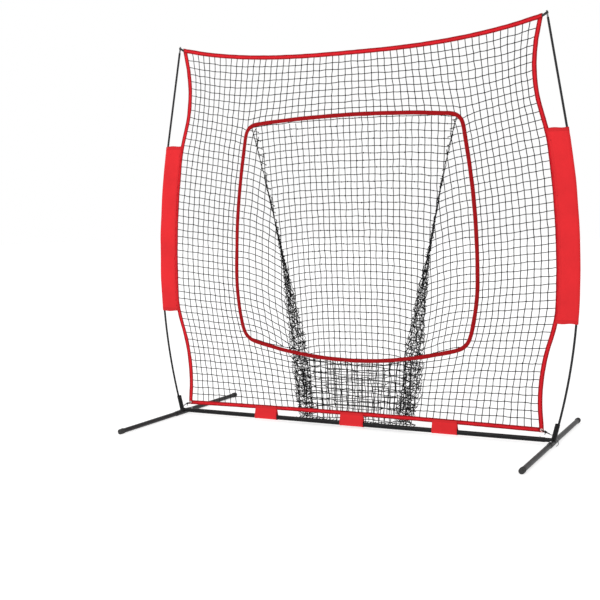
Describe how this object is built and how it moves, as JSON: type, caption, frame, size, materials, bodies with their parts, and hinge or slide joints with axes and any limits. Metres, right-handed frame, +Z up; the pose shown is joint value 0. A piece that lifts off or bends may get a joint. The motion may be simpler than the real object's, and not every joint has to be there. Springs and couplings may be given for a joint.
{
  "type": "pitching target net",
  "caption": "Free-standing practice net: a square net on two bowed poles and a low steel base, with a window and a ball pocket behind it.",
  "frame": {"origin": "on the ground under the middle of the net", "axes": "+X along the base bar to the right as seen from the thrower, +Y away from the thrower, +Z up"},
  "size_m": [2.4376, 1.25, 2.1338],
  "materials": {
    "black_steel": "satin powder coat",
    "cap_rubber": "matte",
    "button_steel": "bright",
    "spring_steel": "plain",
    "black_rod": "smooth glass-fibre rod",
    "ferrule_steel": "plain",
    "tip_metal": "dull",
    "black_netting": "knotted polyester twine",
    "red_cloth": "woven polyester",
    "dark_red_binding": "woven tape",
    "grommet_metal": "bright",
    "black_cord": "braided elastic",
    "hook_wire": "dark grey wire",
    "black_strap": "webbing"
  },
  "bodies": {
    "net_and_frame": {"bar_spigot_left": "black_steel", "bar_spigot_right": "black_steel", "bar_tab_centre": "red_cloth", "bar_tab_left": "red_cloth", "bar_tab_right": "red_cloth", "base_bar_centre": "black_steel", "base_bar_left": "black_steel", "base_bar_right": "black_steel", "button_springs": "spring_steel", "corner_cord_left": "black_cord", "corner_cord_right": "black_cord", "corner_grommets": "grommet_metal", "corner_hook_left": "hook_wire", "corner_hook_right": "hook_wire", "corner_loop_left": "black_strap", "corner_loop_right": "black_strap", "foot_cap_back_left": "cap_rubber", "foot_cap_back_right": "cap_rubber", "foot_cap_front_left": "cap_rubber", "foot_cap_front_right": "cap_rubber", "foot_hub_left": "black_steel", "foot_hub_right": "black_steel", "foot_tube_back_left": "black_steel", "foot_tube_back_right": "black_steel", "foot_tube_front_left": "black_steel", "foot_tube_front_right": "black_steel", "net_border_bottom": "red_cloth", "net_border_left": "red_cloth", "net_border_right": "red_cloth", "net_border_top": "red_cloth", "net_panel": "black_netting", "pocket_back": "black_netting", "pocket_floor": "black_netting", "pocket_front": "black_netting", "pocket_side_left": "black_netting", "pocket_side_right": "black_netting", "pole_ferrules": "ferrule_steel", "pole_lower_left": "black_rod", "pole_lower_right": "black_rod", "pole_middle_left": "black_rod", "pole_middle_right": "black_rod", "pole_sleeve_left": "red_cloth", "pole_sleeve_right": "red_cloth", "pole_socket_left": "black_steel", "pole_socket_right": "black_steel", "pole_tip_left": "tip_metal", "pole_tip_right": "tip_metal", "pole_upper_left": "black_rod", "pole_upper_right": "black_rod", "window_binding": "dark_red_binding"},
    "bar_button_inner_left": {"bar_button_inner_left": "button_steel"},
    "bar_button_inner_right": {"bar_button_inner_right": "button_steel"},
    "bar_button_outer_left": {"bar_button_outer_left": "button_steel"},
    "bar_button_outer_right": {"bar_button_outer_right": "button_steel"},
    "foot_button_back_left": {"foot_button_back_left": "button_steel"},
    "foot_button_back_right": {"foot_button_back_right": "button_steel"},
    "foot_button_front_left": {"foot_button_front_left": "button_steel"},
    "foot_button_front_right": {"foot_button_front_right": "button_steel"}
  },
  "joints": [
    {"name": "bar_button_inner_left_press", "type": "slide", "parent": "net_and_frame", "child": "bar_button_inner_left", "axis": [0, 0, -1], "range_m": [0, 0.005], "stiffness_N_per_m": 400, "springref_m": -0.004, "deforming": ["button_springs"]},
    {"name": "bar_button_inner_right_press", "type": "slide", "parent": "net_and_frame", "child": "bar_button_inner_right", "axis": [0, 0, -1], "range_m": [0, 0.005], "stiffness_N_per_m": 400, "springref_m": -0.004, "deforming": ["button_springs"]},
    {"name": "bar_button_outer_left_press", "type": "slide", "parent": "net_and_frame", "child": "bar_button_outer_left", "axis": [0, 0, -1], "range_m": [0, 0.005], "stiffness_N_per_m": 400, "springref_m": -0.004, "deforming": ["button_springs"]},
    {"name": "bar_button_outer_right_press", "type": "slide", "parent": "net_and_frame", "child": "bar_button_outer_right", "axis": [0, 0, -1], "range_m": [0, 0.005], "stiffness_N_per_m": 400, "springref_m": -0.004, "deforming": ["button_springs"]},
    {"name": "foot_button_back_left_press", "type": "slide", "parent": "net_and_frame", "child": "foot_button_back_left", "axis": [0, 0, -1], "range_m": [0, 0.005], "stiffness_N_per_m": 400, "springref_m": -0.004, "deforming": ["button_springs"]},
    {"name": "foot_button_back_right_press", "type": "slide", "parent": "net_and_frame", "child": "foot_button_back_right", "axis": [0, 0, -1], "range_m": [0, 0.005], "stiffness_N_per_m": 400, "springref_m": -0.004, "deforming": ["button_springs"]},
    {"name": "foot_button_front_left_press", "type": "slide", "parent": "net_and_frame", "child": "foot_button_front_left", "axis": [0, 0, -1], "range_m": [0, 0.005], "stiffness_N_per_m": 400, "springref_m": -0.004, "deforming": ["button_springs"]},
    {"name": "foot_button_front_right_press", "type": "slide", "parent": "net_and_frame", "child": "foot_button_front_right", "axis": [0, 0, -1], "range_m": [0, 0.005], "stiffness_N_per_m": 400, "springref_m": -0.004, "deforming": ["button_springs"]}
  ]
}
